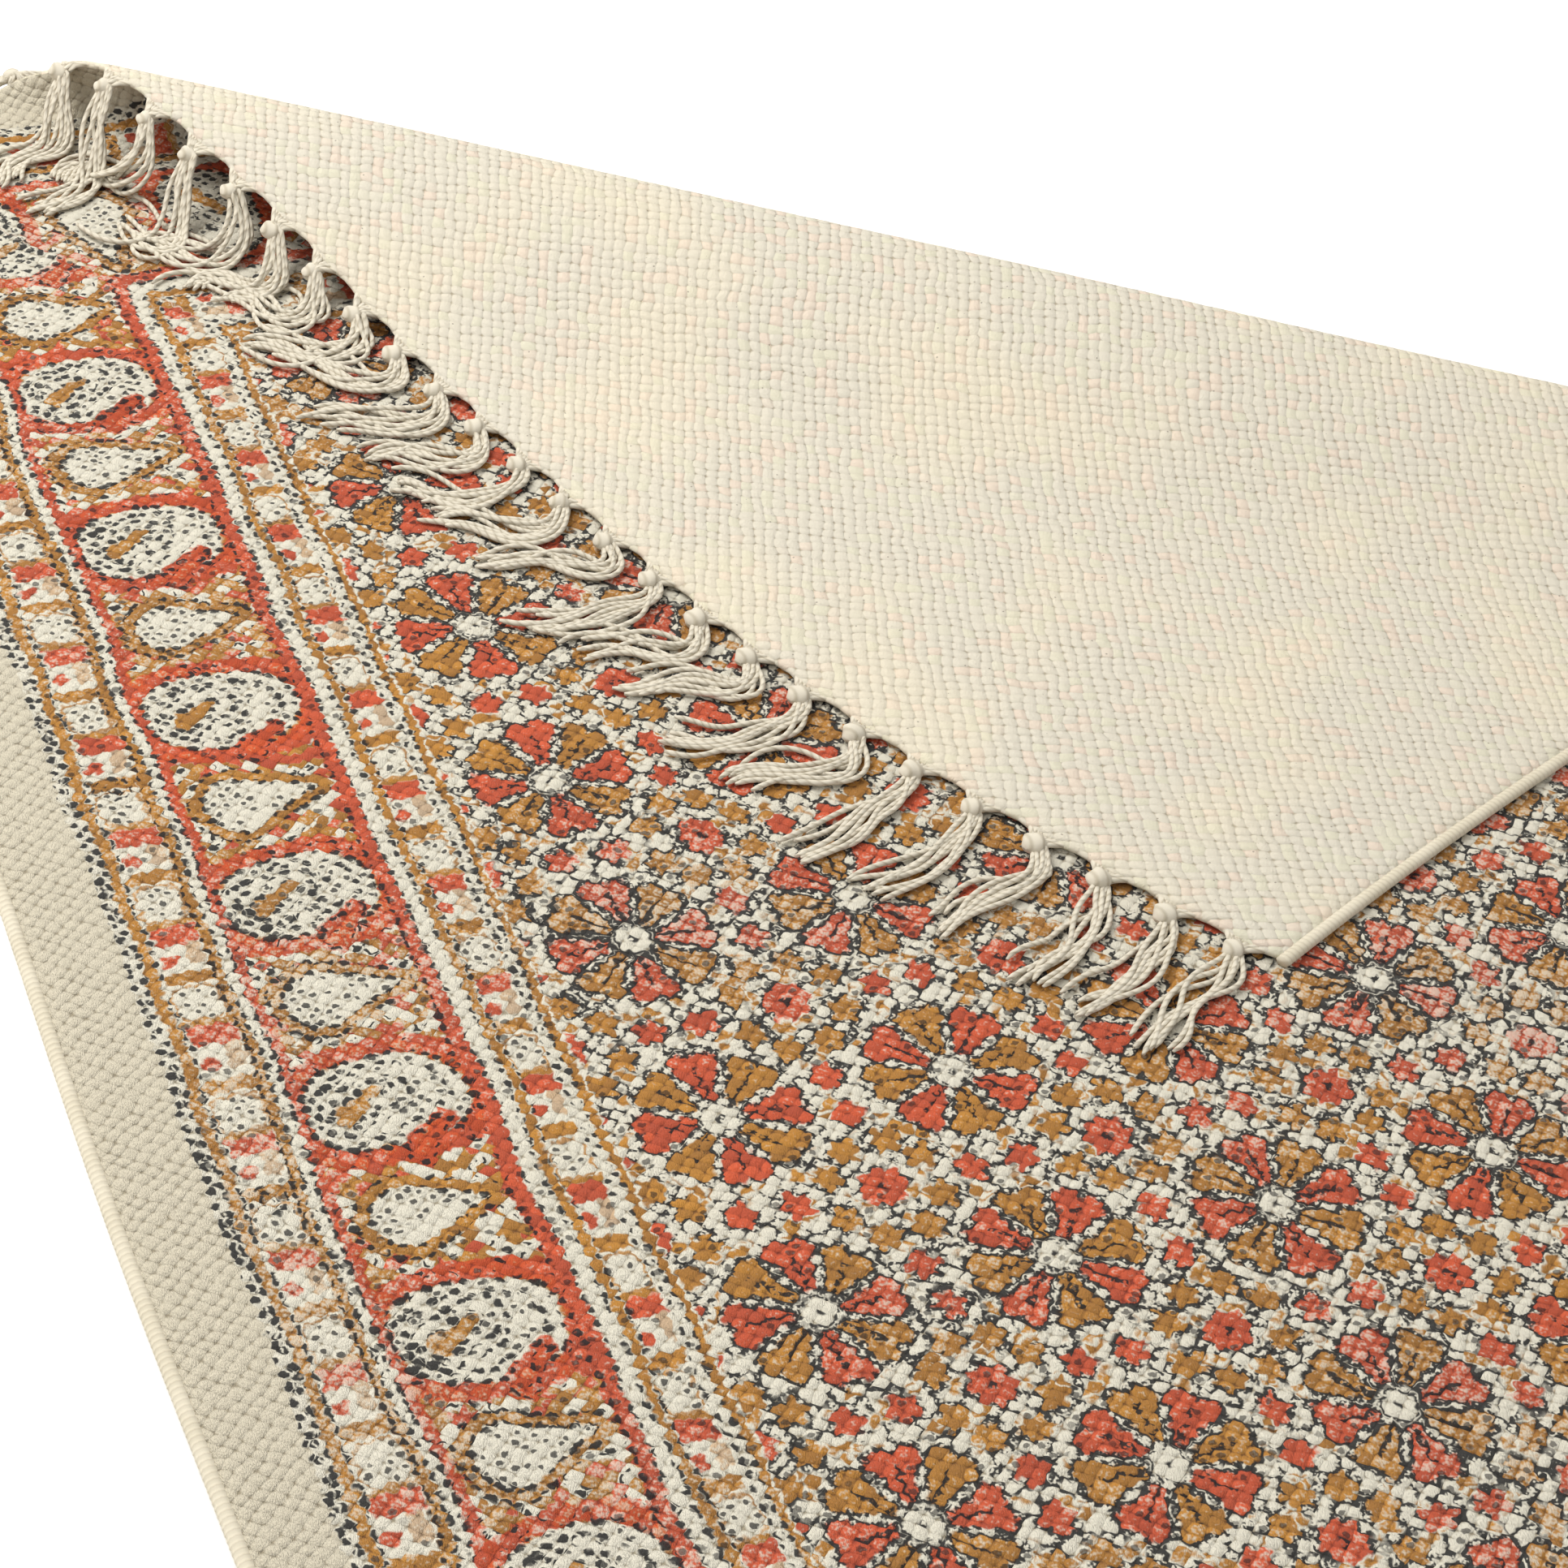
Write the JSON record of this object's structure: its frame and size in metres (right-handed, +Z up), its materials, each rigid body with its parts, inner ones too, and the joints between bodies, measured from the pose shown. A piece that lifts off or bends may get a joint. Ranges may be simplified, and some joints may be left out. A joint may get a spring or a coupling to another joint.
{
  "type": "rug",
  "caption": "Handwoven cotton rug with a block-printed paisley border and flower field and knotted fringes, lying flat with a corner folded over to show its plain back",
  "frame": {"origin": "on the floor under the middle of the rug with its fringes", "axes": "+Z up, +Y along the rug towards the end whose corner is folded, +X across to the right"},
  "size_m": [0.9049, 1.649, 0.0401],
  "materials": {
    "printed_cotton": "matt flat-woven cotton, block printed on one face",
    "fringe_yarn": "matt plied cotton yarn, natural"
  },
  "bodies": {
    "root": {"rug": "printed_cotton", "fringe_far": "fringe_yarn", "fringe_fold_low": "fringe_yarn", "fringe_fold_top": "fringe_yarn", "fringe_fold_back": "fringe_yarn", "fringe_flap_high": "fringe_yarn", "fringe_flap_mid": "fringe_yarn", "fringe_flap_low": "fringe_yarn", "fringe_near": "fringe_yarn"}
  },
  "joints": []
}
